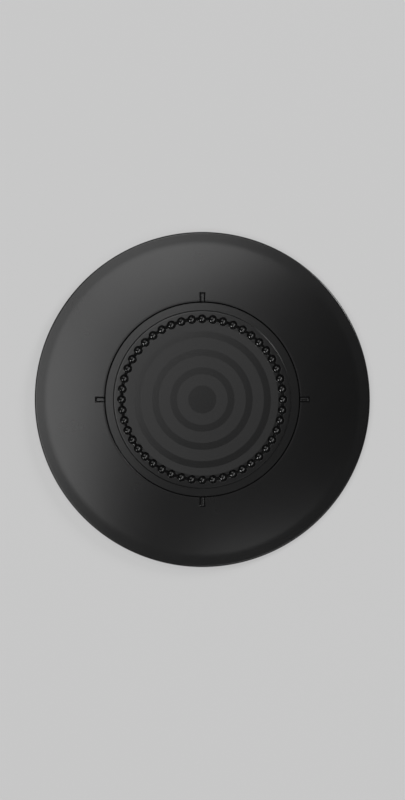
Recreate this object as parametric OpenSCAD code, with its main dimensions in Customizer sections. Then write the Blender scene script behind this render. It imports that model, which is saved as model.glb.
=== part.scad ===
// Adhesive magnetic patch for the back of a phone, in millimetres.
// A soft domed skirt is moulded round a stiff base plate. A hard socket plate shuts eight arc magnets
// and a steel keeper into the middle, and a disc of double-sided adhesive covers the back.
// The origin is the centre of the adhesive face, and +Z points away from the phone.

/* [Skirt] */
// Diameter across the skirt's rim
skirt_d = 65; // [61:0.5:72]
// Height of the rim's top edge above the phone, before it is rounded
rim_h = 1.3; // [1.2:0.05:1.8]
// Gap left between the rim's foot and the phone
rim_lift = 0.2; // [0.1:0.05:0.4]
// Rounding of the rim's top edge
rim_round = 0.35; // [0.1:0.05:0.5]
// Rounding of the rim's foot
foot_round = 0.15; // [0.05:0.05:0.25]
// Width of the flatter brim outside the dome
brim_w = 2.2; // [1.6:0.1:3]
// Fall of the brim, in degrees
brim_slope = 7.1; // [4:0.1:9]
// Radius of the hollow blend where dome and brim meet
blend_r = 15; // [5:1:20]
// Spherical radius of the shallow dome
dome_r = 160; // [140:5:185]
// Reach of the skirt past the base plate's edge
wrap_w = 5.5; // [4.5:0.25:6.5]
// Width of the sloped wall round the mouth of the skirt's bore
mouth_w = 0.22; // [0.1:0.02:0.3]
// Height of that sloped wall
mouth_h = 0.3; // [0.2:0.05:0.5]

/* [Key slots] */
// Number of key slots round the bore
key_count = 4; // [2:1:8]
// Width of a key slot at its mouth
key_w = 1.12; // [1.1:0.02:2]
// Length of a key slot, outwards from the bore
key_l = 2.02; // [1.2:0.02:3]
// Depth of a key slot below the dome
key_depth = 0.42; // [0.2:0.02:0.46]
// Slope of a key slot's walls, in degrees
key_draft = 57; // [52:1:80]
// Width of the bevel at the foot of a key slot's walls
key_foot = 0.14; // [0.04:0.02:0.16]

/* [Socket face] */
// Diameter of the socket plate
socket_d = 37.4; // [35:0.1:41]
// Parting gap between the socket plate and the skirt's bore
parting_gap = 0.05; // [0.03:0.01:0.15]
// Distance from the socket plate's edge to the raised land inside the seating channel
channel_w = 1.55; // [1.3:0.05:1.8]
// Depth of the seating channel below the land
step_h = 0.16; // [0.1:0.01:0.3]
// Width of the sloped step at the land's edge
step_w = 0.19; // [0.1:0.01:0.3]
// Chamfer round the socket plate's edge
edge_chamfer = 0.03; // [0.02:0.01:0.08]

/* [Detent dimples] */
// Number of dimples in the ring
dimple_count = 48; // [24:4:48]
// Distance from the land's edge to the circle that the dimples lie on
dimple_inset = 1.57; // [1.2:0.01:1.8]
// Width of a dimple at its mouth
dimple_d = 1.7; // [1.2:0.05:1.75]
// Depth of a dimple
dimple_depth = 0.71; // [0.4:0.01:0.78]
// Width of the fine groove that links the dimples
link_w = 0.64; // [0.2:0.02:0.8]
// Depth of that groove
link_depth = 0.28; // [0.1:0.02:0.36]

/* [Target rings] */
// Radius of the plain spot in the middle
spot_r = 2.7; // [1.5:0.1:3.2]
// Width of a textured ring
ring_w = 2.18; // [1.5:0.02:2.6]
// Distance from one textured ring to the next
ring_pitch = 3.51; // [3.2:0.01:3.6]
// Height of a textured ring above the plain face
ring_h = 0.02; // [0.01:0.01:0.05]
// Plain margin between the last ring and the dimples
ring_margin = 0.05; // [0.03:0.01:0.3]

/* [Magnets and keeper] */
// Wall between the dimples' edges and the arc magnets
magnet_wall = 0.7; // [0.6:0.05:1.2]
// Width of the arc magnets, from inner to outer radius
magnet_w = 6.4; // [5:0.1:6.8]
// Thickness of a magnet
magnet_t = 1.3; // [0.9:0.1:1.4]
// Angle taken by the rib between two magnets, in degrees
rib_angle = 6; // [4:0.5:12]
// Thickness of the steel keeper
keeper_t = 0.5; // [0.3:0.05:0.5]
// Reach of the keeper past the magnets
keeper_margin = 0.25; // [0.1:0.05:0.3]
// Clearance round each magnet and round the keeper
seat_gap = 0.08; // [0.04:0.01:0.12]

/* [Socket plate, underside] */
// Wall of the hub that the magnets sit round
hub_wall = 1.2; // [0.8:0.1:1.8]
// Diameter of the centre spigot
spigot_d = 4; // [3:0.1:5]
// Gap round the spigot, and under its end
spigot_gap = 0.08; // [0.04:0.01:0.15]
// Distance from the socket plate's edge to the middle of the weld tongue
tongue_inset = 1.8; // [1.3:0.1:2]
// Width of the weld tongue
tongue_w = 0.7; // [0.4:0.05:1]
// Depth of the weld tongue
tongue_h = 0.35; // [0.2:0.05:0.4]
// Clearance of the weld tongue in its groove
tongue_gap = 0.06; // [0.03:0.01:0.1]

/* [Base plate] */
// Thickness of the base plate
plate_t = 0.8; // [0.7:0.05:0.9]
// Number of holes that lock the skirt to the base plate
lock_count = 16; // [8:4:24]
// Diameter of a lock hole
lock_d = 1.8; // [1.2:0.1:2.2]

/* [Adhesive] */
// Thickness of the adhesive disc
adhesive_t = 0.8; // [0.6:0.05:1]
// Distance from the rim to the edge of the adhesive
adhesive_inset = 2.7; // [2.2:0.1:4]
// Gap round the adhesive disc in its recess
adhesive_gap = 0.2; // [0.1:0.05:0.4]

/* [Hidden] */
$fn = 96;
dome_fn = 720;
over = 0.5;
magnet_count = 8;
magnet_names = [for (i = [1:magnet_count]) str("magnet_", i)];

skirt_r = skirt_d / 2;
socket_r = socket_d / 2;
bore_r = socket_r + parting_gap;
land_r = socket_r - channel_w;
dimple_circle_r = land_r - dimple_inset;
plate_r = skirt_r - wrap_w;
lock_circle_r = (bore_r + plate_r) / 2;
plate_top = adhesive_t + plate_t;
sky = 8;

function drop(r, radius = dome_r) = radius - sqrt(radius * radius - r * r);

// The brim falls from dome_end to the rim, and the dome stands on its inner edge.
fall = [cos(brim_slope), -sin(brim_slope)];
rise = [sin(brim_slope), cos(brim_slope)];
dome_end = [skirt_r - brim_w, rim_h + brim_w * tan(brim_slope)];
crown_z = dome_end[1] + drop(dome_end[0]);
dome_c = [0, crown_z - dome_r];

// The blend's circle touches the dome's circle from outside and the brim from above.
from_dome = dome_end + blend_r * rise - dome_c;
along = from_dome * fall;
slide = sqrt(along * along - from_dome * from_dome + pow(dome_r + blend_r, 2)) - along;
blend_c = dome_c + from_dome + slide * fall;
blend_start = dome_c + (blend_c - dome_c) * dome_r / (dome_r + blend_r);
blend_end = blend_c - blend_r * rise;

// The rounding's circle touches the brim and the rim's upright face.
round_x = skirt_r - rim_round;
round_c = [round_x, rim_h + rim_round * tan(brim_slope) - rim_round / cos(brim_slope)];
round_start = round_c + rim_round * rise;
foot_c = [skirt_r - foot_round, rim_lift + foot_round];

// Radii and heights inside the patch
magnet_out_r = dimple_circle_r - dimple_d / 2 - magnet_wall;
magnet_in_r = magnet_out_r - magnet_w;
tongue_r = socket_r - tongue_inset;
keeper_r = magnet_out_r + keeper_margin;
ceiling_z = plate_top + magnet_t + seat_gap;
hub_r = magnet_in_r - seat_gap;
magnet_angle = 360 / magnet_count - rib_angle;

// Height of the dome's face at a distance from the axis
function dome_z(r, lift = 0) = dome_c[1] + sqrt(pow(dome_r + lift, 2) - r * r);

// A rectangle of the half section, from x0 to x1 and from z0 to z1
module column(x0, x1, z0, z1) {
    translate([x0, z0]) square([x1 - x0, z1 - z0]);
}

// The half section under the dome between two radii, with the face raised by lift
module under_dome(x0, x1, z0, lift = 0) {
    intersection() {
        translate(dome_c) circle(dome_r + lift, $fn = dome_fn);
        column(x0, x1, z0, sky);
    }
}

// The half section of the rim, between the brim and the foot
module rim_section() {
    intersection() {
        translate(round_c) circle(rim_round);
        column(round_start[0], skirt_r, round_c[1], sky);
    }
    column(round_start[0], skirt_r, foot_c[1], round_c[1]);
    column(round_start[0], foot_c[0], rim_lift, foot_c[1]);
    intersection() {
        translate(foot_c) circle(foot_round);
        column(foot_c[0], skirt_r, 0, foot_c[1]);
    }
}

// The half section of the skirt from the bore to the rim, before the plate and the adhesive are cut out
module skirt_section() {
    under_dome(bore_r, blend_start[0], rim_lift);
    difference() {
        column(blend_start[0], blend_end[0], rim_lift, sky);
        translate(blend_c) circle(blend_r, $fn = dome_fn);
    }
    polygon([
        [blend_start[0] - over, rim_lift],
        [round_start[0], rim_lift],
        round_start,
        blend_end,
        [blend_start[0] - over, blend_end[1]]
    ]);
    rim_section();
}

// Height of the bevel at the foot of a key slot's walls, and the width of a wall below the dome
key_foot_h = key_foot * tan(key_draft) / 3;
key_wall_w = key_depth / tan(key_draft);

// Outline of one wall of a key slot, whose mouth is at a distance from the slot's middle
function key_wall(mouth, side) = [
    [side * (mouth - key_wall_w - key_foot), 0],
    [side * (mouth - key_wall_w + key_foot_h / tan(key_draft)), key_foot_h],
    [side * (mouth - key_wall_w + sky / tan(key_draft)), sky]
];

// One key slot along +X, open to the bore, laid along the dome's fall
module key_slot() {
    middle = bore_r + key_l / 2;
    inner = -key_l / 2 - over;
    left = key_wall(key_w / 2, -1);
    translate([middle, 0, dome_z(middle)])
        rotate([0, asin(middle / dome_r), 0])
            translate([0, 0, -key_depth])
                intersection() {
                    rotate([90, 0, 0])
                        linear_extrude(sky, center = true)
                            polygon(concat([[inner, 0]], key_wall(key_l / 2, 1), [[inner, sky]]));
                    rotate([90, 0, 90])
                        linear_extrude(sky, center = true)
                            polygon(concat(key_wall(key_w / 2, 1), [left[2], left[1], left[0]]));
                }
}

module skirt() {
    color([0.13, 0.13, 0.14])
    difference() {
        rotate_extrude() skirt_section();
        cylinder(r = skirt_r - adhesive_inset + adhesive_gap, h = adhesive_t);
        plate_blank();
        translate([0, 0, dome_z(bore_r) - mouth_h])
            cylinder(r1 = bore_r, r2 = bore_r + mouth_w * (1 + over / mouth_h), h = mouth_h + over);
        for (i = [0:key_count - 1]) rotate(i * 360 / key_count) key_slot();
    }
}

// Radii of the inner and outer edges of textured ring number i
function ring_in(i) = spot_r + i * ring_pitch;
function ring_limit() = dimple_circle_r - dimple_d / 2 - ring_margin;
function ring_out(i) = min(ring_in(i) + ring_w, ring_limit());
ring_count = ceil((ring_limit() - spot_r) / ring_pitch);

// The half section of the socket plate's face: land, textured rings, sloped step and seating channel
module face_section() {
    under_dome(0, land_r, plate_top);
    for (i = [0:ring_count - 1])
        if (ring_out(i) > ring_in(i)) under_dome(ring_in(i), ring_out(i), ceiling_z, ring_h);
    step_x = land_r + step_w;
    edge_x = socket_r - edge_chamfer;
    polygon([
        [land_r, plate_top],
        [step_x, plate_top],
        [step_x, dome_z(step_x, -step_h)],
        [land_r, dome_z(land_r)]
    ]);
    under_dome(step_x, edge_x, plate_top, -step_h);
    polygon([
        [edge_x, plate_top],
        [socket_r, plate_top],
        [socket_r, dome_z(edge_x, -step_h) - edge_chamfer],
        [edge_x, dome_z(edge_x, -step_h)]
    ]);
}

// The cutter for the dimples: a ball for each, sunk to the dimple's depth
module dimples() {
    half = dimple_d / 2;
    ball_r = (half * half + dimple_depth * dimple_depth) / (2 * dimple_depth);
    for (i = [0:dimple_count - 1])
        rotate(i * 360 / dimple_count)
            translate([dimple_circle_r, 0, dome_z(dimple_circle_r) - dimple_depth + ball_r])
                sphere(ball_r, $fn = 48);
}

// The half section of the fine groove that runs through every dimple
module link_groove() {
    grow = 1 + over / link_depth;
    translate([dimple_circle_r, dome_z(dimple_circle_r) - link_depth])
        polygon([
            [0, 0],
            [link_w / 2 * grow, link_depth * grow],
            [-link_w / 2 * grow, link_depth * grow]
        ]);
}

// A flat block over one magnet's sector, grown by a gap on every side
module magnet_block(gap, height) {
    side_gap = gap * 180 / (PI * magnet_in_r);
    rotate([0, 0, -magnet_angle / 2 - side_gap])
        rotate_extrude(angle = magnet_angle + 2 * side_gap)
            column(magnet_in_r - gap, magnet_out_r + gap, 0, height);
}

module at_magnet(i) {
    rotate((i + 0.5) * 360 / magnet_count) translate([0, 0, plate_top]) children();
}

module socket_plate() {
    color([0.1, 0.1, 0.105]) {
        difference() {
            rotate_extrude()
                difference() {
                    face_section();
                    link_groove();
                }
            for (i = [0:magnet_count - 1])
                at_magnet(i) translate([0, 0, -over]) magnet_block(seat_gap, magnet_t + seat_gap + over);
            translate([0, 0, plate_top - over])
                cylinder(r = hub_r - hub_wall, h = ceiling_z - plate_top + over);
            dimples();
        }
        translate([0, 0, adhesive_t + spigot_gap])
            cylinder(d = spigot_d, h = ceiling_z - adhesive_t - spigot_gap + step_h);
        translate([0, 0, plate_top - tongue_h])
            rotate_extrude()
                column(tongue_r - tongue_w / 2, tongue_r + tongue_w / 2, 0, tongue_h + step_h);
    }
}

module magnet(i) {
    color([0.75, 0.76, 0.78]) at_magnet(i) magnet_block(0, magnet_t);
}

module keeper() {
    color([0.55, 0.56, 0.58])
    translate([0, 0, plate_top - keeper_t])
        difference() {
            cylinder(r = keeper_r, h = keeper_t);
            translate([0, 0, -over]) cylinder(d = spigot_d + 2 * spigot_gap, h = keeper_t + 2 * over);
        }
}

// The base plate's disc with its lock holes, as the skirt is moulded round it
module plate_blank() {
    difference() {
        translate([0, 0, adhesive_t]) cylinder(r = plate_r, h = plate_t);
        for (i = [0:lock_count - 1])
            rotate((i + 0.5) * 360 / lock_count)
                translate([lock_circle_r, 0, adhesive_t - over]) cylinder(d = lock_d, h = plate_t + 2 * over);
    }
}

module base_plate() {
    color([0.2, 0.2, 0.21])
    difference() {
        plate_blank();
        translate([0, 0, plate_top - keeper_t]) cylinder(r = keeper_r + seat_gap, h = keeper_t + over);
        translate([0, 0, plate_top - tongue_h - tongue_gap])
            rotate_extrude()
                column(
                    tongue_r - tongue_w / 2 - tongue_gap,
                    tongue_r + tongue_w / 2 + tongue_gap,
                    0,
                    tongue_h + over
                );
        translate([0, 0, adhesive_t - over]) cylinder(d = spigot_d + 2 * spigot_gap, h = plate_t + 2 * over);
    }
}

module adhesive_disc() {
    color([0.32, 0.32, 0.33]) cylinder(r = skirt_r - adhesive_inset, h = adhesive_t);
}

skirt();
socket_plate();
keeper();
base_plate();
adhesive_disc();
for (i = [0:magnet_count - 1])
    magnet(i);
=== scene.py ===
"""Magnetic patch: meshes for what is seen, finishes for what is hidden, and a plain studio."""

import math

import bmesh
import bpy
from bpy.props import FloatProperty, FloatVectorProperty, IntProperty, PointerProperty
from mathutils import Matrix, Vector


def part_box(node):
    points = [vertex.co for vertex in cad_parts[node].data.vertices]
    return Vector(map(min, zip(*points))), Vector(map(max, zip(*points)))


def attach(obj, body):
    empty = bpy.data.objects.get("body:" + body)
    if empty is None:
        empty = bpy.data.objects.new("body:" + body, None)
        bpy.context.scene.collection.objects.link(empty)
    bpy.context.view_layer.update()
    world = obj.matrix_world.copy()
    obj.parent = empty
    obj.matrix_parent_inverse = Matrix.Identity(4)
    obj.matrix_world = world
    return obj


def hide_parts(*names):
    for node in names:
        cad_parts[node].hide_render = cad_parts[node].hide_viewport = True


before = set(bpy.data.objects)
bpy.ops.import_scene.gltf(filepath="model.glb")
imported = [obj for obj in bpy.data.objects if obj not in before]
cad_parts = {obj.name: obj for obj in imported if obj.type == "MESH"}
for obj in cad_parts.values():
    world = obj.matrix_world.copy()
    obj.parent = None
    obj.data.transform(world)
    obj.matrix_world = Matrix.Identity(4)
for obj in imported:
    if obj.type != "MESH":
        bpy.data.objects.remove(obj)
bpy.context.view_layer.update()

bl_info = {
    "name": "Magnetic patch",
    "version": (1, 0, 0),
    "blender": (4, 5, 0),
    "location": "View3D > Sidebar > Patch",
    "description": "Models and finishes a domed adhesive magnetic patch",
    "category": "Object",
}

MM = 0.001
WELD = 0.001 * MM
CEILING = 2.0
SKIRT_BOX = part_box("skirt")
SOCKET_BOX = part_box("socket_plate")
MAGNET_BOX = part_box("magnet_1")
BASE_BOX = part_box("base_plate")
FOAM_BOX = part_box("adhesive_disc")


class PatchSizes(bpy.types.PropertyGroup):
    """Sizes of the patch, in metres."""

    rim_height: FloatProperty(
        name="Rim height",
        description="Height of the rim's top edge before it is rounded",
        default=1.3 * MM,
        unit="LENGTH",
    )
    rim_round: FloatProperty(
        name="Rim rounding",
        description="Rounding of the rim's top edge",
        default=0.35 * MM,
        unit="LENGTH",
    )
    rim_land: FloatProperty(
        name="Rim land",
        description="Narrow flat of the brim next to the rim's rounding",
        default=0.12 * MM,
        unit="LENGTH",
    )
    foot_round: FloatProperty(
        name="Foot rounding",
        description="Rounding of the rim's foot",
        default=0.15 * MM,
        unit="LENGTH",
    )
    brim_width: FloatProperty(
        name="Brim width",
        description="Width of the flatter brim outside the dome",
        default=2.2 * MM,
        unit="LENGTH",
    )
    brim_slope: FloatProperty(
        name="Brim slope",
        description="Fall of the brim",
        default=math.radians(7.1),
        unit="ROTATION",
    )
    blend_radius: FloatProperty(
        name="Blend radius",
        description="Radius of the hollow blend where dome and brim meet",
        default=15 * MM,
        unit="LENGTH",
    )
    dome_radius: FloatProperty(
        name="Dome radius",
        description="Spherical radius of the shallow dome",
        default=160 * MM,
        unit="LENGTH",
    )
    parting_gap: FloatProperty(
        name="Parting gap",
        description="Gap between the socket plate and the skirt's bore",
        default=0.05 * MM,
        unit="LENGTH",
    )
    mouth_width: FloatProperty(
        name="Mouth width",
        description="Width of the sloped wall round the mouth of the skirt's bore",
        default=0.22 * MM,
        unit="LENGTH",
    )
    mouth_depth: FloatProperty(
        name="Mouth depth",
        description="Depth of the sloped wall's foot below the dome",
        default=0.34 * MM,
        unit="LENGTH",
    )
    lip_width: FloatProperty(
        name="Lip width",
        description="Width of the worn lip outside the sloped wall",
        default=0.03 * MM,
        unit="LENGTH",
    )
    lip_drop: FloatProperty(
        name="Lip drop",
        description="How far the lip's inner edge lies below the dome",
        default=0.004 * MM,
        unit="LENGTH",
    )
    slot_count: IntProperty(
        name="Key slots",
        description="Number of key slots round the bore",
        default=4,
    )
    slot_width: FloatProperty(
        name="Slot width",
        description="Width of a key slot at its mouth",
        default=1.12 * MM,
        unit="LENGTH",
    )
    slot_length: FloatProperty(
        name="Slot length",
        description="Length of a key slot, outwards from the bore",
        default=2.02 * MM,
        unit="LENGTH",
    )
    slot_depth: FloatProperty(
        name="Slot depth",
        description="Depth of a key slot below the dome",
        default=0.42 * MM,
        unit="LENGTH",
    )
    slot_wall: FloatProperty(
        name="Slot wall",
        description="Width of a key slot's sloped wall and of the fillet at its foot",
        default=0.42 * MM,
        unit="LENGTH",
    )
    slot_draft: FloatProperty(
        name="Slot draft",
        description="Slope of a key slot's walls",
        default=math.radians(57),
        unit="ROTATION",
    )
    slot_fillet: FloatProperty(
        name="Slot fillet",
        description="Height of the fillet at the foot of a key slot's walls",
        default=0.075 * MM,
        unit="LENGTH",
    )
    channel_width: FloatProperty(
        name="Channel width",
        description="Distance from the socket plate's edge to its raised land",
        default=1.64 * MM,
        unit="LENGTH",
    )
    step_height: FloatProperty(
        name="Step height",
        description="Depth of the seating channel below the land",
        default=0.187 * MM,
        unit="LENGTH",
    )
    step_width: FloatProperty(
        name="Step width",
        description="Width of the sloped step at the land's edge",
        default=0.21 * MM,
        unit="LENGTH",
    )
    edge_round: FloatProperty(
        name="Edge rounding",
        description="Rounding of the socket face's edges",
        default=0.012 * MM,
        unit="LENGTH",
    )
    dimple_count: IntProperty(
        name="Dimples",
        description="Number of dimples in the ring",
        default=48,
    )
    dimple_inset: FloatProperty(
        name="Dimple inset",
        description="Distance from the land's edge to the circle that the dimples lie on",
        default=1.48 * MM,
        unit="LENGTH",
    )
    dimple_radius: FloatProperty(
        name="Dimple radius",
        description="Radius of a dimple at its mouth",
        default=0.85 * MM,
        unit="LENGTH",
    )
    dimple_lip: FloatProperty(
        name="Dimple lip",
        description="Rounding of a dimple's mouth",
        default=0.04 * MM,
        unit="LENGTH",
    )
    dimple_depth: FloatProperty(
        name="Dimple depth",
        description="Depth of a dimple",
        default=0.71 * MM,
        unit="LENGTH",
    )
    dimple_border: FloatProperty(
        name="Dimple border",
        description="Distance from the dimples' circle to the sides of their band of the face",
        default=1 * MM,
        unit="LENGTH",
    )
    link_depth: FloatProperty(
        name="Link depth",
        description="Depth of the fine groove that links the dimples",
        default=0.3 * MM,
        unit="LENGTH",
    )
    link_width: FloatProperty(
        name="Link width",
        description="Width of the fine groove that links the dimples",
        default=0.62 * MM,
        unit="LENGTH",
    )
    spot_radius: FloatProperty(
        name="Spot radius",
        description="Radius of the plain spot in the middle",
        default=2.7 * MM,
        unit="LENGTH",
    )
    ring_width: FloatProperty(
        name="Ring width",
        description="Width of a textured ring",
        default=2.18 * MM,
        unit="LENGTH",
    )
    ring_pitch: FloatProperty(
        name="Ring pitch",
        description="Distance from one textured ring to the next",
        default=3.51 * MM,
        unit="LENGTH",
    )
    ring_limit: FloatProperty(
        name="Ring limit",
        description="Radius at which the last textured ring ends",
        default=14.75 * MM,
        unit="LENGTH",
    )
    ring_fade: FloatProperty(
        name="Ring fade",
        description="Width over which a ring's texture fades out at its edges",
        default=0.12 * MM,
        unit="LENGTH",
    )
    foam_gap: FloatProperty(
        name="Foam gap",
        description="Gap between the foam's edge and the skirt's foot",
        default=0.2 * MM,
        unit="LENGTH",
    )
    foam_bulge: FloatProperty(
        name="Foam bulge",
        description="How far the foam's cut edge bulges",
        default=0.06 * MM,
        unit="LENGTH",
    )
    peg_count: IntProperty(
        name="Lock pegs",
        description="Number of pegs that lock the skirt into the base plate",
        default=16,
    )
    peg_radius: FloatProperty(
        name="Peg radius",
        description="Radius of a lock peg",
        default=0.9 * MM,
        unit="LENGTH",
    )
    magnet_count: IntProperty(
        name="Magnets",
        description="Number of arc magnets under the socket plate",
        default=8,
    )
    magnet_outer: FloatProperty(
        name="Magnet circle",
        description="Outer radius of the arc magnets",
        default=14.03 * MM,
        unit="LENGTH",
    )
    magnet_width: FloatProperty(
        name="Magnet width",
        description="Width of the arc magnets, from inner to outer radius",
        default=6.4 * MM,
        unit="LENGTH",
    )
    seat_gap: FloatProperty(
        name="Seat gap",
        description="Clearance round each magnet",
        default=0.08 * MM,
        unit="LENGTH",
    )
    hub_wall: FloatProperty(
        name="Hub wall",
        description="Wall of the hub that the magnets sit round",
        default=1.2 * MM,
        unit="LENGTH",
    )
    spigot_radius: FloatProperty(
        name="Spigot radius",
        description="Radius of the centre spigot",
        default=2 * MM,
        unit="LENGTH",
    )
    tongue_inset: FloatProperty(
        name="Tongue inset",
        description="Distance from the socket plate's edge to the middle of the weld tongue",
        default=1.8 * MM,
        unit="LENGTH",
    )
    tongue_width: FloatProperty(
        name="Tongue width",
        description="Width of the weld tongue",
        default=0.7 * MM,
        unit="LENGTH",
    )
    tongue_depth: FloatProperty(
        name="Tongue depth",
        description="Depth of the weld tongue",
        default=0.35 * MM,
        unit="LENGTH",
    )

    @property
    def land_radius(self):
        """Radius of the raised land inside the seating channel."""
        return SOCKET_BOX[1].x - self.channel_width

    @property
    def dimple_circle(self):
        """Radius of the circle that the dimples lie on."""
        return self.land_radius - self.dimple_inset


class PatchFinishes(bpy.types.PropertyGroup):
    """Colours and gloss of the patch."""

    skirt_colour: FloatVectorProperty(
        name="Skirt colour",
        description="Colour of the soft skirt",
        default=(0.0036, 0.0036, 0.0037),
        size=3,
        subtype="COLOR",
    )
    socket_colour: FloatVectorProperty(
        name="Socket colour",
        description="Colour of the hard socket plate",
        default=(0.0036, 0.0036, 0.0037),
        size=3,
        subtype="COLOR",
    )
    satin_roughness: FloatProperty(
        name="Satin roughness",
        description="Roughness of the plain moulded faces",
        default=0.268,
        subtype="FACTOR",
    )
    gloss_roughness: FloatProperty(
        name="Gloss roughness",
        description="Roughness of the socket plate between its textured rings",
        default=0.282,
        subtype="FACTOR",
    )
    dimple_roughness: FloatProperty(
        name="Dimple roughness",
        description="Roughness of the polished dimples",
        default=0.2,
        subtype="FACTOR",
    )
    ring_roughness: FloatProperty(
        name="Ring roughness",
        description="Roughness of the textured rings",
        default=0.494,
        subtype="FACTOR",
    )
    foam_colour: FloatVectorProperty(
        name="Foam colour",
        description="Colour of the adhesive foam",
        default=(0.03, 0.03, 0.032),
        size=3,
        subtype="COLOR",
    )
    steel_colour: FloatVectorProperty(
        name="Steel colour",
        description="Colour of the steel keeper",
        default=(0.52, 0.53, 0.54),
        size=3,
        subtype="COLOR",
    )
    nickel_colour: FloatVectorProperty(
        name="Nickel colour",
        description="Colour of the magnets' nickel plating",
        default=(0.6, 0.59, 0.56),
        size=3,
        subtype="COLOR",
    )
    floor_colour: FloatVectorProperty(
        name="Floor colour",
        description="Colour of the studio floor",
        default=(0.17, 0.17, 0.17),
        size=3,
        subtype="COLOR",
    )
    floor_glow: FloatProperty(
        name="Floor glow",
        description="Light that the floor gives off, which softens the shadow on it",
        default=0.42,
    )


class Outline:
    """A half section drawn in the XZ plane, from point to point."""

    def __init__(self, bm, x, z):
        self.bm = bm
        self.tip = bm.verts.new((x, 0, z))
        self.rounded = []

    def line(self, x, z, rounding=0):
        """Draw a straight line to a point, whose corner may be rounded later."""
        self.tip = bmesh.ops.extrude_vert_indiv(self.bm, verts=[self.tip])["verts"][0]
        self.tip.co = (x, 0, z)
        if rounding:
            self.rounded.append((self.tip, rounding))

    def arc(self, centre, angle, steps, rounding=0):
        """Draw an arc round a centre, clockwise where the angle is positive."""
        made = bmesh.ops.spin(
            self.bm,
            geom=[self.tip],
            cent=(centre[0], 0, centre[1]),
            axis=(0, 1, 0),
            angle=angle,
            steps=steps,
        )
        self.tip = next(v for v in made["geom_last"] if isinstance(v, bmesh.types.BMVert))
        if rounding:
            self.rounded.append((self.tip, rounding))

    def round_corners(self, segments=4):
        """Round each corner that was given a rounding."""
        for vert, rounding in self.rounded:
            bmesh.ops.bevel(
                self.bm,
                geom=[vert],
                offset=rounding,
                offset_type="OFFSET",
                segments=segments,
                profile=0.5,
                affect="VERTICES",
                material=-1,
            )


class Dome:
    """The shallow dome that skirt and socket plate share."""

    def __init__(self, sizes):
        self.radius = sizes.dome_radius
        self.rim_radius = SKIRT_BOX[1].x
        self.end_x = self.rim_radius - sizes.brim_width
        self.end_z = sizes.rim_height + sizes.brim_width * math.tan(sizes.brim_slope)
        drop = self.radius - math.sqrt(self.radius**2 - self.end_x**2)
        self.crown = self.end_z + drop
        self.centre = (0, self.crown - self.radius)

    def height(self, x, lift=0):
        """Height of the dome's face at a distance from the axis."""
        return self.centre[1] + math.sqrt((self.radius + lift) ** 2 - x * x)

    def sweep(self, x0, x1, lift=0):
        """Angle at the dome's centre between two distances from the axis."""
        radius = self.radius + lift
        return math.asin(x1 / radius) - math.asin(x0 / radius)


def turn(bm, geom, runs):
    """Turn a half section round the Z axis in runs of (angle, steps)."""
    for angle, steps in runs:
        made = bmesh.ops.spin(bm, geom=geom, axis=(0, 0, 1), angle=angle, steps=steps)
        geom = made["geom_last"]


def weld(bm):
    """Merge what meets, and point the faces outwards."""
    bmesh.ops.remove_doubles(bm, verts=bm.verts, dist=WELD)
    bmesh.ops.dissolve_degenerate(bm, edges=bm.edges, dist=WELD)
    bmesh.ops.recalc_face_normals(bm, faces=bm.faces)


def finish_piece(bm, name, material, slot, *nodes):
    """Make an object of the mesh, which stands for CAD nodes."""
    mesh = bpy.data.meshes.new(name)
    bm.to_mesh(mesh)
    bm.free()
    mesh.shade_smooth()
    mesh.set_sharp_from_angle(angle=math.radians(30))
    piece = bpy.data.objects.new(name, mesh)
    bpy.context.scene.collection.objects.link(piece)
    piece.data.materials.append(material)
    weights = piece.modifiers.new("Weighted normals", "WEIGHTED_NORMAL")
    weights.keep_sharp = True
    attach(piece, "root")
    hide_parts(*nodes)


def node_tree(material):
    """An emptied node tree with a Principled shader and an output."""
    material.use_nodes = True
    tree = material.node_tree
    tree.nodes.clear()
    shader = tree.nodes.new("ShaderNodeBsdfPrincipled")
    output = tree.nodes.new("ShaderNodeOutputMaterial")
    tree.links.new(shader.outputs["BSDF"], output.inputs["Surface"])
    return tree, shader


def math_node(tree, operation, *values):
    """A Math node whose inputs are sockets or numbers."""
    node = tree.nodes.new("ShaderNodeMath")
    node.operation = operation
    for socket, value in zip(node.inputs, values):
        if isinstance(value, bpy.types.NodeSocket):
            tree.links.new(value, socket)
        else:
            socket.default_value = value
    return node.outputs[0]


def new_group(name, inputs, outputs):
    """An empty shader node group with named sockets."""
    group = bpy.data.node_groups.new(name, "ShaderNodeTree")
    for label, kind in inputs:
        group.interface.new_socket(label, in_out="INPUT", socket_type=kind)
    for label, kind in outputs:
        group.interface.new_socket(label, in_out="OUTPUT", socket_type=kind)
    return group, group.nodes.new("NodeGroupInput"), group.nodes.new("NodeGroupOutput")


def moulded_grain():
    """Group: the fine skin that a spark-eroded mould leaves, with a slow change of tone."""
    if "moulded_grain" in bpy.data.node_groups:
        return bpy.data.node_groups["moulded_grain"]
    group, given, result = new_group(
        "moulded_grain",
        [("Vector", "NodeSocketVector"), ("Scale", "NodeSocketFloat")],
        [("Height", "NodeSocketFloat"), ("Tone", "NodeSocketFloat")],
    )
    grain = group.nodes.new("ShaderNodeTexNoise")
    grain.inputs["Detail"].default_value = 2
    group.links.new(given.outputs["Vector"], grain.inputs["Vector"])
    group.links.new(given.outputs["Scale"], grain.inputs["Scale"])
    tone = group.nodes.new("ShaderNodeTexNoise")
    tone.inputs["Scale"].default_value = 180
    tone.inputs["Detail"].default_value = 3
    group.links.new(given.outputs["Vector"], tone.inputs["Vector"])
    group.links.new(grain.outputs[0], result.inputs["Height"])
    group.links.new(tone.outputs[0], result.inputs["Tone"])
    return group


def use_group(tree, group, **values):
    """Place a group in a material, with its own values."""
    node = tree.nodes.new("ShaderNodeGroup")
    node.node_tree = group
    for label, value in values.items():
        socket = node.inputs[label]
        if isinstance(value, bpy.types.NodeSocket):
            tree.links.new(value, socket)
        else:
            socket.default_value = value
    return node


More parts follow.
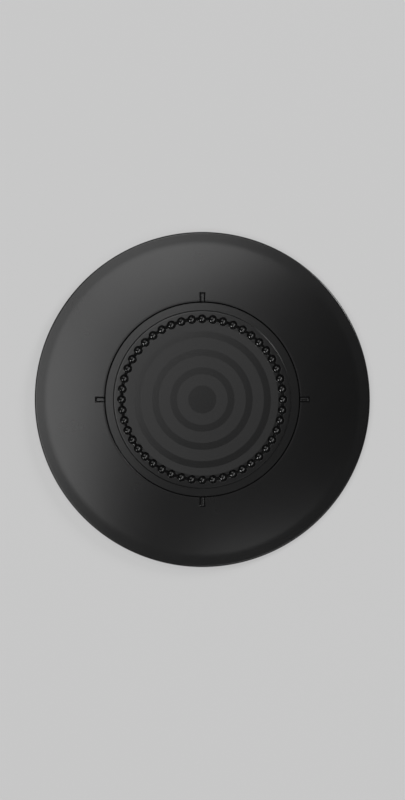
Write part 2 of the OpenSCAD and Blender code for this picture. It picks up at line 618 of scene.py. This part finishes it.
def object_coordinates(tree):
    """The Object coordinates, which are metres in the patch's own frame."""
    return tree.nodes.new("ShaderNodeTexCoord").outputs["Object"]


def add_bump(tree, shader, height, distance):
    """Give the shader a bump of a height that varies from 0 to 1."""
    bump = tree.nodes.new("ShaderNodeBump")
    bump.inputs["Distance"].default_value = distance
    tree.links.new(height, bump.inputs["Height"])
    tree.links.new(bump.outputs["Normal"], shader.inputs["Normal"])


def satin_black(name, colour, roughness):
    """Black moulded material with a fine skin."""
    material = bpy.data.materials.new(name)
    tree, shader = node_tree(material)
    where = object_coordinates(tree)
    grain = use_group(tree, moulded_grain(), Vector=where, Scale=5200)
    shader.inputs["Base Color"].default_value = (*colour, 1)
    spread = math_node(tree, "MULTIPLY_ADD", grain.outputs["Tone"], 0.03, roughness - 0.015)
    tree.links.new(spread, shader.inputs["Roughness"])
    add_bump(tree, shader, grain.outputs["Height"], 0.002 * MM)
    return material, tree, shader, where, spread


def skirt_material(finishes):
    """Soft elastomer with a fine matte skin."""
    return satin_black("skirt_rubber", finishes.skirt_colour, finishes.satin_roughness)[0]


def axis_distance(tree, where):
    """Distance of a point from the patch's axis."""
    flat = tree.nodes.new("ShaderNodeVectorMath")
    flat.operation = "MULTIPLY"
    flat.inputs[1].default_value = (1, 1, 0)
    tree.links.new(where, flat.inputs[0])
    length = tree.nodes.new("ShaderNodeVectorMath")
    length.operation = "LENGTH"
    tree.links.new(flat.outputs[0], length.inputs[0])
    return length.outputs["Value"]


def clamped(tree, value):
    """A value held between 0 and 1."""
    clamp = tree.nodes.new("ShaderNodeClamp")
    tree.links.new(value, clamp.inputs["Value"])
    return clamp.outputs[0]


def ring_mask(tree, radius, sizes):
    """Mask of the textured rings: 1 on a ring and 0 between."""
    soft = sizes.ring_fade
    place = math_node(tree, "SUBTRACT", radius, sizes.spot_radius)
    turns = math_node(tree, "FLOORED_MODULO", place, sizes.ring_pitch)
    centre = math_node(tree, "SUBTRACT", turns, sizes.ring_width / 2)
    away = math_node(tree, "ABSOLUTE", centre)
    inside = math_node(tree, "SUBTRACT", sizes.ring_width / 2, away)
    edge = math_node(tree, "MULTIPLY_ADD", inside, 1 / soft, 0.5)
    started = math_node(tree, "MULTIPLY_ADD", place, 1 / soft, 0.5)
    ended = math_node(tree, "MULTIPLY_ADD", radius, -1 / soft, sizes.ring_limit / soft)
    mask = math_node(tree, "MINIMUM", math_node(tree, "MINIMUM", edge, started), ended)
    return clamped(tree, mask)


def sunk_mask(tree, where, radius, sizes):
    """Mask of the dimples: 1 where the face lies below the dome, inside the land."""
    dome = Dome(sizes)
    away = tree.nodes.new("ShaderNodeVectorMath")
    away.operation = "DISTANCE"
    tree.links.new(where, away.inputs[0])
    away.inputs[1].default_value = (0, 0, dome.centre[1])
    start = sizes.dimple_lip
    depth = math_node(tree, "SUBTRACT", dome.radius - start, away.outputs["Value"])
    below = math_node(tree, "MULTIPLY", depth, 1 / start)
    inside = math_node(tree, "LESS_THAN", radius, sizes.dimple_circle + sizes.dimple_border)
    return clamped(tree, math_node(tree, "MULTIPLY", below, inside))


def socket_material(sizes, finishes):
    """Hard plastic whose face has textured rings."""
    gloss = finishes.gloss_roughness
    material, tree, shader, where, spread = satin_black(
        "socket_plastic", finishes.socket_colour, gloss
    )
    radius = axis_distance(tree, where)
    rings = ring_mask(tree, radius, sizes)
    rough = math_node(tree, "MULTIPLY_ADD", rings, finishes.ring_roughness - gloss, spread)
    sunk = sunk_mask(tree, where, radius, sizes)
    rough = math_node(tree, "MULTIPLY_ADD", sunk, finishes.dimple_roughness - gloss, rough)
    tree.links.new(rough, shader.inputs["Roughness"])
    return material


def foam_material(colour):
    """Dark closed-cell acrylic foam with a tacky face."""
    material = bpy.data.materials.new("adhesive_foam")
    tree, shader = node_tree(material)
    where = object_coordinates(tree)
    grain = use_group(tree, moulded_grain(), Vector=where, Scale=2600)
    shader.inputs["Base Color"].default_value = (*colour, 1)
    shader.inputs["Roughness"].default_value = 0.5
    add_bump(tree, shader, grain.outputs["Height"], 0.02 * MM)
    return material


def metal_material(name, colour, roughness):
    """Bare or plated metal with fine scratches left by tumbling."""
    material = bpy.data.materials.new(name)
    tree, shader = node_tree(material)
    where = object_coordinates(tree)
    grain = use_group(tree, moulded_grain(), Vector=where, Scale=3000)
    shader.inputs["Base Color"].default_value = (*colour, 1)
    shader.inputs["Metallic"].default_value = 1
    spread = math_node(tree, "MULTIPLY_ADD", grain.outputs["Height"], 0.1, roughness - 0.05)
    tree.links.new(spread, shader.inputs["Roughness"])
    add_bump(tree, shader, grain.outputs["Height"], 0.001 * MM)
    return material


def dress(node, material):
    """Give a CAD node a better material."""
    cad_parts[node].data.materials.clear()
    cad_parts[node].data.materials.append(material)


def skirt_section(bm, sizes, dome):
    """Half section of the skirt, from the bore's foot over the dome and back underneath."""
    bore = SOCKET_BOX[1].x + sizes.parting_gap
    mouth = bore + sizes.mouth_width
    lip = mouth + sizes.lip_width
    slot_end = bore + sizes.slot_length
    rim = dome.rim_radius
    base_top = BASE_BOX[1].z
    foam_top = FOAM_BOX[1].z
    recess = FOAM_BOX[1].x + sizes.foam_gap
    slope = sizes.brim_slope
    fall = Vector((math.cos(slope), -math.sin(slope)))
    rise = Vector((math.sin(slope), math.cos(slope)))
    dome_centre = Vector(dome.centre)

    # The blend's centre lies at the blend's radius from the brim's line and from the dome.
    from_dome = Vector((dome.end_x, dome.end_z)) + sizes.blend_radius * rise - dome_centre
    along = from_dome.dot(fall)
    reach = dome.radius + sizes.blend_radius
    slide = math.sqrt(along**2 - from_dome.length_squared + reach**2) - along
    blend = dome_centre + from_dome + slide * fall
    blend_start = dome_centre + (blend - dome_centre) * dome.radius / reach
    blend_angle = math.asin(blend_start.x / dome.radius) - slope

    round_x = rim - sizes.rim_round
    round_z = (
        sizes.rim_height
        + sizes.rim_round * math.tan(slope)
        - sizes.rim_round / math.cos(slope)
    )
    round_start = Vector((round_x, round_z)) + sizes.rim_round * rise
    brim_end = round_start - sizes.rim_land * fall
    lift = SKIRT_BOX[0].z
    foot = (rim - sizes.foot_round, lift + sizes.foot_round)

    outline = Outline(bm, bore, base_top)
    outline.line(bore, dome.height(bore) - sizes.mouth_depth)
    outline.line(mouth, dome.height(mouth) - sizes.lip_drop)
    outline.line(lip, dome.height(lip))
    outline.arc(dome.centre, dome.sweep(lip, slot_end - sizes.slot_wall), 4)
    outline.arc(dome.centre, dome.sweep(slot_end - sizes.slot_wall, slot_end), 8)
    outline.arc(dome.centre, dome.sweep(slot_end, blend_start.x), 28)
    outline.arc(blend, -blend_angle, 6)
    outline.line(*brim_end)
    outline.line(*round_start)
    outline.arc((round_x, round_z), math.pi / 2 - slope, 6)
    outline.line(rim, foot[1])
    outline.arc(foot, math.pi / 2, 4)
    outline.line(recess, lift)
    outline.line(recess, foam_top)
    outline.line(BASE_BOX[1].x, foam_top)
    outline.line(BASE_BOX[1].x, base_top)
    outline.round_corners()


def sink_slots(bm, sizes, dome):
    """Sink the key slots, whose walls slope and have a fillet at their foot."""
    bore = SOCKET_BOX[1].x + sizes.parting_gap
    end = bore + sizes.slot_length
    middle = bore + sizes.slot_length / 2
    half = sizes.slot_width / 2
    pitch = 2 * math.pi / sizes.slot_count
    reach = 2 * sizes.slot_fillet
    for vert in bm.verts:
        radius = math.hypot(vert.co.x, vert.co.y)
        angle = math.atan2(vert.co.y, vert.co.x)
        aside = middle * abs(angle - pitch * round(angle / pitch))
        inside = min(half - aside, end - radius)
        if inside < WELD or vert.co.z < dome.height(radius) - sizes.mouth_depth - WELD:
            continue
        # The wall falls until it meets the floor, and the fillet rounds the corner between them.
        wall = inside * math.tan(sizes.slot_draft)
        fillet = max(reach - abs(wall - sizes.slot_depth), 0) ** 2 / (4 * reach)
        vert.co.z -= min(wall, sizes.slot_depth) - fillet


def add_pegs(bm, sizes):
    """Close the skirt's underside over the base plate, with pegs that fill the plate's holes."""
    edges = [edge for edge in bm.edges if edge.is_boundary]
    circle = (SOCKET_BOX[1].x + sizes.parting_gap + BASE_BOX[1].x) / 2
    pitch = 2 * math.pi / sizes.peg_count
    for number in range(sizes.peg_count):
        place = Matrix.Rotation((number + 0.5) * pitch, 4, "Z") @ Matrix.Translation(
            (circle, 0, FOAM_BOX[1].z)
        )
        made = bmesh.ops.create_circle(
            bm, cap_ends=True, segments=24, radius=sizes.peg_radius, matrix=place
        )
        foot = made["verts"][0].link_faces[0]
        grown = bmesh.ops.extrude_edge_only(bm, edges=foot.edges)["geom"]
        top = [item for item in grown if isinstance(item, bmesh.types.BMVert)]
        bmesh.ops.translate(bm, verts=top, vec=(0, 0, BASE_BOX[1].z - FOAM_BOX[1].z))
        edges += {edge for vert in top for edge in vert.link_edges if edge.other_vert(vert) in top}
    bmesh.ops.triangle_fill(bm, edges=edges, use_beauty=True, use_dissolve=False)


def build_skirt(sizes, finishes):
    """The soft skirt with its key slots."""
    dome = Dome(sizes)
    bm = bmesh.new()
    skirt_section(bm, sizes, dome)
    middle = SOCKET_BOX[1].x + sizes.parting_gap + sizes.slot_length / 2
    half = sizes.slot_width / 2 / middle
    wall = sizes.slot_wall / middle
    pitch = 2 * math.pi / sizes.slot_count
    runs = [(wall, 8), (2 * half - 2 * wall, 4), (wall, 8), (pitch - 2 * half, 56)]
    bmesh.ops.rotate(bm, verts=bm.verts, cent=(0, 0, 0), matrix=Matrix.Rotation(-half, 3, "Z"))
    turn(bm, list(bm.verts) + list(bm.edges), runs * sizes.slot_count)
    sink_slots(bm, sizes, dome)
    weld(bm)
    add_pegs(bm, sizes)
    weld(bm)
    finish_piece(bm, "skirt_shell", skirt_material(finishes), "skirt_rubber", "skirt")


def dimple_bowl(bm, sizes):
    """One dimple with a rounded mouth, laid flat on the Z axis, with closer steps at its links."""
    half, depth = sizes.dimple_radius, sizes.dimple_depth
    ball = (half * half + depth * depth) / (2 * depth)
    lip = sizes.dimple_lip
    mouth = half + 2 * lip
    outline = Outline(bm, 0, -depth)
    outline.arc((0, ball - depth), -math.asin(half / ball), 12, rounding=lip)
    outline.line(mouth, 0)
    outline.round_corners(segments=4)
    half_link = math.asin(sizes.link_width / 2 / mouth)
    lean = math.pi / sizes.dimple_count / 2
    start = Matrix.Rotation(math.pi / 2 + lean - half_link, 3, "Z")
    link = (2 * half_link, 6)
    inner = (math.pi - 2 * lean - 2 * half_link, 16)
    outer = (math.pi + 2 * lean - 2 * half_link, 16)
    bmesh.ops.rotate(bm, verts=bm.verts, cent=(0, 0, 0), matrix=start)
    turn(bm, list(bm.verts) + list(bm.edges), [link, inner, link, outer])


def dimple_sector(sizes, band):
    """One sector of the dimple band, laid flat: a dimple, its links, and the face round it."""
    bm = bmesh.new()
    dimple_bowl(bm, sizes)
    weld(bm)
    rim = [edge for edge in bm.edges if edge.is_boundary]
    made = bmesh.ops.extrude_edge_only(bm, edges=rim)
    window = [v for v in made["geom"] if isinstance(v, bmesh.types.BMVert)]
    half_angle = math.pi / sizes.dimple_count
    # Points near the radius through the dimple lie evenly on the band's inner or outer circle,
    # up to the corner, and the others lie on the sector's straight sides.
    corner = math.radians(38)
    for vert in window:
        turned = math.atan2(vert.co.y, vert.co.x)
        reach = min(abs(turned), math.pi - abs(turned))
        side = round(4 * reach / corner)
        if side <= 4:
            radius = band[1] if abs(turned) < math.pi / 2 else band[0]
            angle = math.copysign(half_angle * side / 4, turned)
        else:
            radius = sizes.dimple_circle + vert.co.x
            angle = math.copysign(half_angle, turned)
        vert.co.x = radius * math.cos(angle) - sizes.dimple_circle
        vert.co.y = radius * math.sin(angle)
    # Outside the dimple's middle, the face drops to the link groove where that is lower.
    for vert in bm.verts:
        radius = math.hypot(vert.co.x + sizes.dimple_circle, vert.co.y)
        aside = abs(radius - sizes.dimple_circle)
        drop = sizes.link_depth * (1 - 2 * aside / sizes.link_width)
        if abs(vert.co.y) > sizes.dimple_radius / 2:
            vert.co.z = min(vert.co.z, -drop)
    bmesh.ops.translate(bm, verts=bm.verts, vec=(sizes.dimple_circle, 0, 0))
    return bm


def dimple_band(bm, sizes, dome, band):
    """The whole ring of dimples, bent over the dome."""
    sector = dimple_sector(sizes, band)
    bmesh.ops.spin(
        sector,
        geom=list(sector.verts) + list(sector.edges) + list(sector.faces),
        axis=(0, 0, 1),
        angle=2 * math.pi * (sizes.dimple_count - 1) / sizes.dimple_count,
        steps=sizes.dimple_count - 1,
        use_duplicate=True,
    )
    # A bowl keeps its shape, and from 0.7 of its radius outwards the face takes on the dome's.
    level = dome.height(sizes.dimple_circle)
    pitch = 2 * math.pi / sizes.dimple_count
    for vert in sector.verts:
        angle = pitch * round(math.atan2(vert.co.y, vert.co.x) / pitch)
        centre = sizes.dimple_circle * Vector((math.cos(angle), math.sin(angle)))
        away = (vert.co.xy - centre).length / sizes.dimple_radius
        bent = min(max((away - 0.7) / 0.3, 0), 1)
        face = dome.height(vert.co.xy.length)
        vert.co.z += level + (face - level) * bent
    ring = bpy.data.meshes.new("dimple_band")
    sector.to_mesh(ring)
    sector.free()
    bm.from_mesh(ring)
    bpy.data.meshes.remove(ring)


def socket_face(bm, dome, band):
    """Half section of the middle of the socket face, from the axis to the dimples."""
    outline = Outline(bm, 0, dome.crown)
    outline.arc(dome.centre, dome.sweep(0, band[0]), 30)


def socket_side(bm, sizes, dome, band):
    """Half section from the dimples over the seating channel and back underneath to the axis."""
    plate = SOCKET_BOX[1].x
    foot = BASE_BOX[1].z
    ceiling = MAGNET_BOX[1].z + sizes.seat_gap
    channel = sizes.land_radius + sizes.step_width
    tongue = plate - sizes.tongue_inset
    tongue_foot = foot - sizes.tongue_depth
    spigot_foot = FOAM_BOX[1].z + sizes.seat_gap
    pocket_in = sizes.magnet_outer - sizes.magnet_width - sizes.seat_gap
    outline = Outline(bm, band[1], dome.height(band[1]))
    outline.arc(dome.centre, dome.sweep(band[1], sizes.land_radius), 2, rounding=sizes.edge_round)
    outline.line(channel, dome.height(channel, -sizes.step_height))
    outline.arc(dome.centre, dome.sweep(channel, plate, -sizes.step_height), 4)
    outline.line(plate, foot)
    outline.line(tongue + sizes.tongue_width / 2, foot)
    outline.line(tongue + sizes.tongue_width / 2, tongue_foot)
    outline.line(tongue - sizes.tongue_width / 2, tongue_foot)
    outline.line(tongue - sizes.tongue_width / 2, foot)
    outline.line(sizes.magnet_outer + sizes.seat_gap, foot)
    outline.line(pocket_in, foot)
    outline.line(pocket_in - sizes.hub_wall, foot)
    outline.line(pocket_in - sizes.hub_wall, ceiling)
    outline.line(sizes.spigot_radius, ceiling)
    outline.line(sizes.spigot_radius, spigot_foot)
    outline.line(0, spigot_foot)
    outline.round_corners()


def sink_pockets(bm, sizes, steps):
    """Sink the magnets' pockets into the underside, with a rib between each two."""
    inner = sizes.magnet_outer - sizes.magnet_width - sizes.seat_gap
    outer = sizes.magnet_outer + sizes.seat_gap
    pitch = steps // sizes.magnet_count
    rib = 3
    pockets = []
    for face in bm.faces:
        middle = face.calc_center_median()
        step = math.atan2(middle.y, middle.x) * steps / (2 * math.pi) % pitch
        under = abs(middle.z - BASE_BOX[1].z) < WELD
        if under and inner < middle.xy.length < outer and rib < step < pitch - rib:
            pockets.append(face)
    made = bmesh.ops.extrude_face_region(bm, geom=pockets)
    roof = [item for item in made["geom"] if isinstance(item, bmesh.types.BMVert)]
    bmesh.ops.delete(bm, geom=pockets, context="FACES")
    rise = MAGNET_BOX[1].z + sizes.seat_gap - BASE_BOX[1].z
    bmesh.ops.translate(bm, verts=roof, vec=(0, 0, rise))


def build_socket(sizes, finishes):
    """The hard socket plate with its dimples, its seating channel and its underside."""
    dome = Dome(sizes)
    border = sizes.dimple_border
    band = (sizes.dimple_circle - border, sizes.dimple_circle + border)
    steps = sizes.dimple_count * 8
    bm = bmesh.new()
    socket_face(bm, dome, band)
    socket_side(bm, sizes, dome, band)
    turn(bm, list(bm.verts) + list(bm.edges), [(2 * math.pi, steps)])
    weld(bm)
    sink_pockets(bm, sizes, steps)
    dimple_band(bm, sizes, dome, band)
    weld(bm)
    material = socket_material(sizes, finishes)
    finish_piece(bm, "socket_cap", material, "socket_plastic", "socket_plate")


def build_foam(sizes, finishes):
    """The adhesive foam disc, whose edge bulges a little."""
    radius = FOAM_BOX[1].x
    cut = radius - sizes.foam_bulge
    top = FOAM_BOX[1].z
    bm = bmesh.new()
    outline = Outline(bm, 0, top)
    outline.line(cut, top)
    outline.line(radius, top / 2, rounding=0.2 * MM)
    outline.line(cut, 0)
    outline.line(0, 0)
    outline.round_corners()
    turn(bm, list(bm.verts) + list(bm.edges), [(2 * math.pi, 192)])
    weld(bm)
    material = foam_material(finishes.foam_colour)
    finish_piece(bm, "adhesive_foam_disc", material, "adhesive_foam", "adhesive_disc")


def ceiling_light(name, size, centre, turned, radiance):
    """A softbox in the ceiling, whose sizes are shares of the ceiling's height."""
    where = (centre[0] * CEILING, centre[1] * CEILING, CEILING)
    lamp = area_light(name, (size[0] * CEILING, size[1] * CEILING), where, radiance)
    lamp.rotation_euler = (0, 0, turned)


def area_light(name, size, centre, radiance):
    """A rectangular softbox of a given radiance that faces the patch."""
    light = bpy.data.lights.new(name, "AREA")
    light.shape = "RECTANGLE"
    light.size, light.size_y = size
    light.energy = radiance * math.pi * size[0] * size[1]
    lamp = bpy.data.objects.new(name, light)
    bpy.context.scene.collection.objects.link(lamp)
    lamp.location = centre
    lamp.rotation_euler = Vector(centre).to_track_quat("Z", "Y").to_euler()
    lamp.visible_camera = False
    return lamp


def lay_floor(finishes):
    """A pale round floor, a hair below the adhesive face so that the two don't coincide."""
    bm = bmesh.new()
    below = Matrix.Translation((0, 0, -0.02 * MM))
    bmesh.ops.create_circle(bm, cap_ends=True, segments=96, radius=4, matrix=below)
    mesh = bpy.data.meshes.new("floor")
    bm.to_mesh(mesh)
    bm.free()
    floor = bpy.data.objects.new("floor", mesh)
    bpy.context.scene.collection.objects.link(floor)
    material = bpy.data.materials.new("floor_paint")
    shader = node_tree(material)[1]
    shader.inputs["Base Color"].default_value = (*finishes.floor_colour, 1)
    shader.inputs["Roughness"].default_value = 0.9
    shader.inputs["Specular IOR Level"].default_value = 0.1
    shader.inputs["Emission Color"].default_value = (1, 1, 1, 1)
    shader.inputs["Emission Strength"].default_value = finishes.floor_glow
    mesh.materials.append(material)


def light_studio():
    """A dim room that the camera sees as pale, four softboxes in its ceiling and a low lamp."""
    world = bpy.data.worlds.new("studio")
    world.use_nodes = True
    tree = world.node_tree
    tree.nodes.clear()
    dim = tree.nodes.new("ShaderNodeBackground")
    dim.inputs["Color"].default_value = (1, 1, 1, 1)
    dim.inputs["Strength"].default_value = 0.03
    pale = tree.nodes.new("ShaderNodeBackground")
    pale.inputs["Color"].default_value = (0.8, 0.8, 0.8, 1)
    pale.inputs["Strength"].default_value = 1
    path = tree.nodes.new("ShaderNodeLightPath")
    mix = tree.nodes.new("ShaderNodeMixShader")
    output = tree.nodes.new("ShaderNodeOutputWorld")
    tree.links.new(path.outputs["Is Camera Ray"], mix.inputs["Fac"])
    tree.links.new(dim.outputs[0], mix.inputs[1])
    tree.links.new(pale.outputs[0], mix.inputs[2])
    tree.links.new(mix.outputs[0], output.inputs["Surface"])
    bpy.context.scene.world = world

    ceiling_light("left_softbox", (0.702, 0.956), (-0.666, -0.164), -0.104, 2.9)
    ceiling_light("top_softbox", (0.667, 0.692), (-0.167, 0.635), 0.402, 3.0)
    ceiling_light("overhead_softbox", (0.447, 0.373), (-0.026, 0.041), 0, 0.46)
    ceiling_light("lower_softbox", (1.11, 1.0), (0.554, -0.939), 0, 1.66)
    low = Matrix.Rotation(math.radians(37.8), 3, "Z") @ Vector((1.388, 0, 0.569))
    area_light("spark_lamp", (0.416, 0.416), low, 26)


def place_camera():
    """A long lens straight above the patch, which spans 335.6 of the picture's 405 pixels."""
    data = bpy.data.cameras.new("camera")
    data.lens = 200
    camera = bpy.data.objects.new("camera", data)
    bpy.context.scene.collection.objects.link(camera)
    pixel = 65 * MM / 335.6
    height = 800 * pixel
    camera.location = (0, 0, 2 * MM + height * data.lens / data.sensor_width)
    data.shift_x = 0.2 / 800
    data.shift_y = -0.5 / 800
    data.clip_start, data.clip_end = 0.01, 20
    bpy.context.scene.camera = camera


class PATCH_OT_skirt(bpy.types.Operator):
    """Model the soft skirt and finish it"""

    bl_idname = "patch.skirt"
    bl_label = "Skirt"

    def execute(self, context):
        build_skirt(context.scene.patch_sizes, context.scene.patch_finishes)
        return {"FINISHED"}


class PATCH_OT_socket(bpy.types.Operator):
    """Model the hard socket plate and finish it"""

    bl_idname = "patch.socket"
    bl_label = "Socket plate"

    def execute(self, context):
        build_socket(context.scene.patch_sizes, context.scene.patch_finishes)
        return {"FINISHED"}


class PATCH_OT_foam(bpy.types.Operator):
    """Model the adhesive foam disc and finish it"""

    bl_idname = "patch.foam"
    bl_label = "Adhesive foam"

    def execute(self, context):
        build_foam(context.scene.patch_sizes, context.scene.patch_finishes)
        return {"FINISHED"}


class PATCH_OT_inside(bpy.types.Operator):
    """Finish the hidden base plate, keeper and magnets"""

    bl_idname = "patch.inside"
    bl_label = "Inner pieces"

    def execute(self, context):
        finishes = context.scene.patch_finishes
        dress("base_plate", satin_black("plate_plastic", finishes.socket_colour, 0.5)[0])
        dress("keeper", metal_material("keeper_steel", finishes.steel_colour, 0.35))
        nickel = metal_material("magnet_nickel", finishes.nickel_colour, 0.25)
        for node in sorted(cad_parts):
            if node.startswith("magnet_"):
                dress(node, nickel)
        return {"FINISHED"}


class PATCH_OT_stage(bpy.types.Operator):
    """Set up the floor, the lights and the camera"""

    bl_idname = "patch.stage"
    bl_label = "Stage"

    def execute(self, context):
        lay_floor(context.scene.patch_finishes)
        light_studio()
        place_camera()
        context.scene.view_settings.view_transform = "Standard"
        return {"FINISHED"}


class PATCH_PT_panel(bpy.types.Panel):
    """The patch's pieces in the sidebar"""

    bl_idname = "PATCH_PT_panel"
    bl_label = "Magnetic patch"
    bl_space_type = "VIEW_3D"
    bl_region_type = "UI"
    bl_category = "Patch"

    def draw(self, context):
        for operator in OPERATORS:
            self.layout.operator(operator.bl_idname)


OPERATORS = (PATCH_OT_stage, PATCH_OT_skirt, PATCH_OT_socket, PATCH_OT_foam, PATCH_OT_inside)
CLASSES = (PatchSizes, PatchFinishes, *OPERATORS, PATCH_PT_panel)


def register():
    for cls in CLASSES:
        bpy.utils.register_class(cls)
    bpy.types.Scene.patch_sizes = PointerProperty(type=PatchSizes)
    bpy.types.Scene.patch_finishes = PointerProperty(type=PatchFinishes)


def unregister():
    del bpy.types.Scene.patch_finishes
    del bpy.types.Scene.patch_sizes
    for cls in reversed(CLASSES):
        bpy.utils.unregister_class(cls)


def main():
    register()
    bpy.ops.patch.stage()
    bpy.ops.patch.skirt()
    bpy.ops.patch.socket()
    bpy.ops.patch.foam()
    bpy.ops.patch.inside()


if __name__ == "__main__":
    main()
